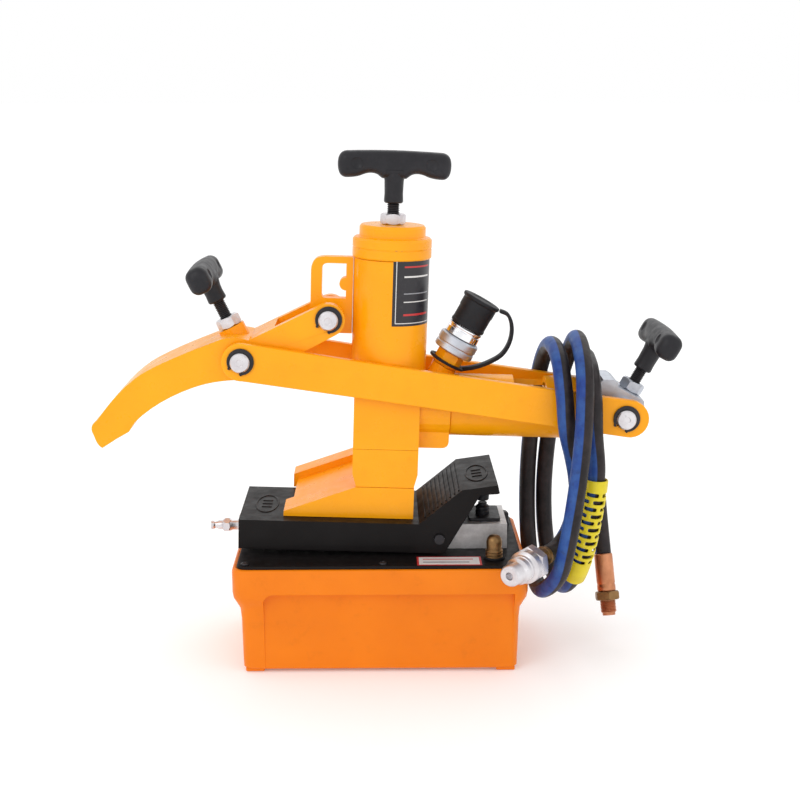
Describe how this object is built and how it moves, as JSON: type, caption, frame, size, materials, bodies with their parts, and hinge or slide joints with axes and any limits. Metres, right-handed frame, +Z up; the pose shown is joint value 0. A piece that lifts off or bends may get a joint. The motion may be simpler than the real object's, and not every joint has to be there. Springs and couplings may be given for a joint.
{
  "type": "combination bead breaker",
  "caption": "Hydraulic claw-and-foot bead breaker with clamp arms and T-handle screws, standing on its air-hydraulic foot pump, with a looped hose.",
  "frame": {"origin": "on the floor under the middle of the object without its hose", "axes": "+Z up, +X from the claw towards the tail of the clamp arms, +Y towards the far side"},
  "size_m": [0.5744, 0.2353, 0.5046],
  "materials": {
    "yellow_paint": "gloss yellow enamel",
    "orange_paint": "orange enamel",
    "black_paint": "satin black enamel",
    "chrome": "hard chrome",
    "zinc": "zinc plated",
    "steel": "blue-grey bare steel",
    "cast_aluminium": "cast",
    "brass": "dull brass",
    "copper": "copper plated",
    "black_steel": "black oxide",
    "black_plastic": "moulded",
    "black_rubber": "moulded rubber",
    "hose_rubber": "hose cover",
    "guard_plastic": "translucent yellow"
  },
  "bodies": {
    "pump": {"tank": "orange_paint", "tank_lid": "black_paint", "pump_body": "cast_aluminium", "oil_strainer": "brass", "release_valve": "black_plastic", "air_motor_barrel": "cast_aluminium", "air_nipple": "zinc", "breather": "brass", "pedal_pin": "black_steel"},
    "pedal": {"pedal": "black_paint"},
    "foot": {"foot_wedge": "yellow_paint", "foot_block": "yellow_paint", "press_ram": "chrome"},
    "body": {"body_block": "yellow_paint", "cylinder_tube": "yellow_paint", "press_spring": "black_steel", "cylinder_cap": "yellow_paint", "ram_base": "yellow_paint", "hanger_bracket": "yellow_paint", "clamp_tube": "yellow_paint", "clamp_gland": "yellow_paint", "link_pin": "zinc", "link_circlip_near": "black_steel", "link_circlip_far": "black_steel", "top_nut": "zinc", "coupler_adapter": "yellow_paint", "coupler_sleeve": "chrome", "cap_strap": "black_rubber"},
    "clamp": {"clamp_ram": "chrome", "trunnion_block": "steel", "tail_pin": "zinc", "tail_circlip_near": "black_steel", "tail_circlip_far": "black_steel", "tail_nut": "steel"},
    "arms": {"arm_near": "yellow_paint", "arm_far": "yellow_paint", "claw_pin": "zinc", "claw_circlip_near": "black_steel", "claw_circlip_far": "black_steel", "hose": "hose_rubber", "hose_guard": "guard_plastic", "hose_end": "copper", "plug_adapter": "brass", "plug_nipple": "zinc"},
    "claw_hook": {"claw": "yellow_paint", "claw_nut": "zinc"},
    "top_pad_body": {"top_pad": "zinc"},
    "claw_pad_body": {"claw_pad": "zinc"},
    "tail_pad_body": {"tail_pad": "zinc"},
    "top_screw_body": {"top_screw": "black_steel", "top_handle": "black_plastic"},
    "claw_screw_body": {"claw_screw": "black_steel", "claw_handle": "black_plastic"},
    "tail_screw_body": {"tail_screw": "black_steel", "tail_handle": "black_plastic"},
    "dust_cap_body": {"dust_cap": "black_rubber"},
    "collar_body": {"coupler_collar": "steel"},
    "knob_body": {"release_knob": "black_plastic"},
    "air_piston_body": {"air_piston": "steel"},
    "filler_body": {"filler_cap": "black_plastic"}
  },
  "joints": [
    {"name": "pedal_tilt", "type": "hinge", "parent": "pump", "child": "pedal", "pos_m": [0.05361, -0.005, 0.1295], "axis": [0, 1, 0], "range_deg": [0, 4]},
    {"name": "foot_lift", "type": "slide", "parent": "pedal", "child": "foot", "axis": [0.0314, 0, 0.9995], "range_m": [0, 0.06]},
    {"name": "press_stroke", "type": "slide", "parent": "foot", "child": "body", "axis": [0.0314, 0, 0.9995], "range_m": [0, 0.04], "deforming": ["press_spring"]},
    {"name": "clamp_stroke", "type": "slide", "parent": "body", "child": "clamp", "axis": [0.9995, 0, -0.0314], "range_m": [0, 0.0214]},
    {"name": "arm_swing", "type": "hinge", "parent": "clamp", "child": "arms", "pos_m": [0.23444, -0.005, 0.24867], "axis": [0, -1, 0], "range_deg": [0, 4]},
    {"name": "claw_swing", "type": "hinge", "parent": "body", "child": "claw_hook", "pos_m": [-0.05389, -0.005, 0.34448], "axis": [0, -1, 0], "range_deg": [0, 20.1]},
    {"name": "dust_cap_pull", "type": "slide", "parent": "body", "child": "dust_cap_body", "axis": [0.4894, 0, 0.8721], "range_m": [0, 0.036], "deforming": ["cap_strap"]},
    {"name": "collar_turn", "type": "hinge", "parent": "body", "child": "collar_body", "pos_m": [0.05763, -0.005, 0.28925], "axis": [0.4894, 0, 0.8721], "continuous": true},
    {"name": "release_press", "type": "slide", "parent": "pump", "child": "knob_body", "axis": [0, 0, -1], "range_m": [0, 0.002], "stiffness_N_per_m": 600},
    {"name": "air_piston_slide", "type": "slide", "parent": "pump", "child": "air_piston_body", "axis": [1, 0, 0], "range_m": [0, 0.02], "stiffness_N_per_m": 300},
    {"name": "filler_turn", "type": "hinge", "parent": "pump", "child": "filler_body", "pos_m": [0.1231, 0.043, 0.12], "axis": [0, 0, 1], "range_deg": [0, 360]},
    {"name": "top_pad_slide", "type": "slide", "parent": "body", "child": "top_pad_body", "axis": [0.0314, 0, 0.9995], "range_m": [0, 0.0035]},
    {"name": "top_screw_turn", "type": "hinge", "parent": "top_pad_body", "child": "top_screw_body", "pos_m": [0.00731, -0.005, 0.39118], "axis": [0.0314, 0, 0.9995], "range_deg": [0, 720]},
    {"name": "claw_pad_slide", "type": "slide", "parent": "claw_hook", "child": "claw_pad_body", "axis": [-0.4258, 0, 0.9048], "range_m": [0, 0.0035]},
    {"name": "claw_screw_turn", "type": "hinge", "parent": "claw_pad_body", "child": "claw_screw_body", "pos_m": [-0.13845, -0.005, 0.30592], "axis": [-0.4258, 0, 0.9048], "range_deg": [0, 720]},
    {"name": "tail_pad_slide", "type": "slide", "parent": "clamp", "child": "tail_pad_body", "axis": [0.4818, 0, 0.8763], "range_m": [0, 0.0035]},
    {"name": "tail_screw_turn", "type": "hinge", "parent": "tail_pad_body", "child": "tail_screw_body", "pos_m": [0.23444, -0.005, 0.24867], "axis": [0.4818, 0, 0.8763], "range_deg": [0, 720]}
  ],
  "couplings": [
    {"joint": "arm_swing", "follows": "clamp_stroke", "rad_per_m": 3.238},
    {"joint": "claw_swing", "follows": "clamp_stroke", "rad_per_m": 16.31},
    {"joint": "top_pad_slide", "follows": "top_screw_turn", "m_per_rad": 0.0002785},
    {"joint": "claw_pad_slide", "follows": "claw_screw_turn", "m_per_rad": 0.0002785},
    {"joint": "tail_pad_slide", "follows": "tail_screw_turn", "m_per_rad": 0.0002785}
  ]
}
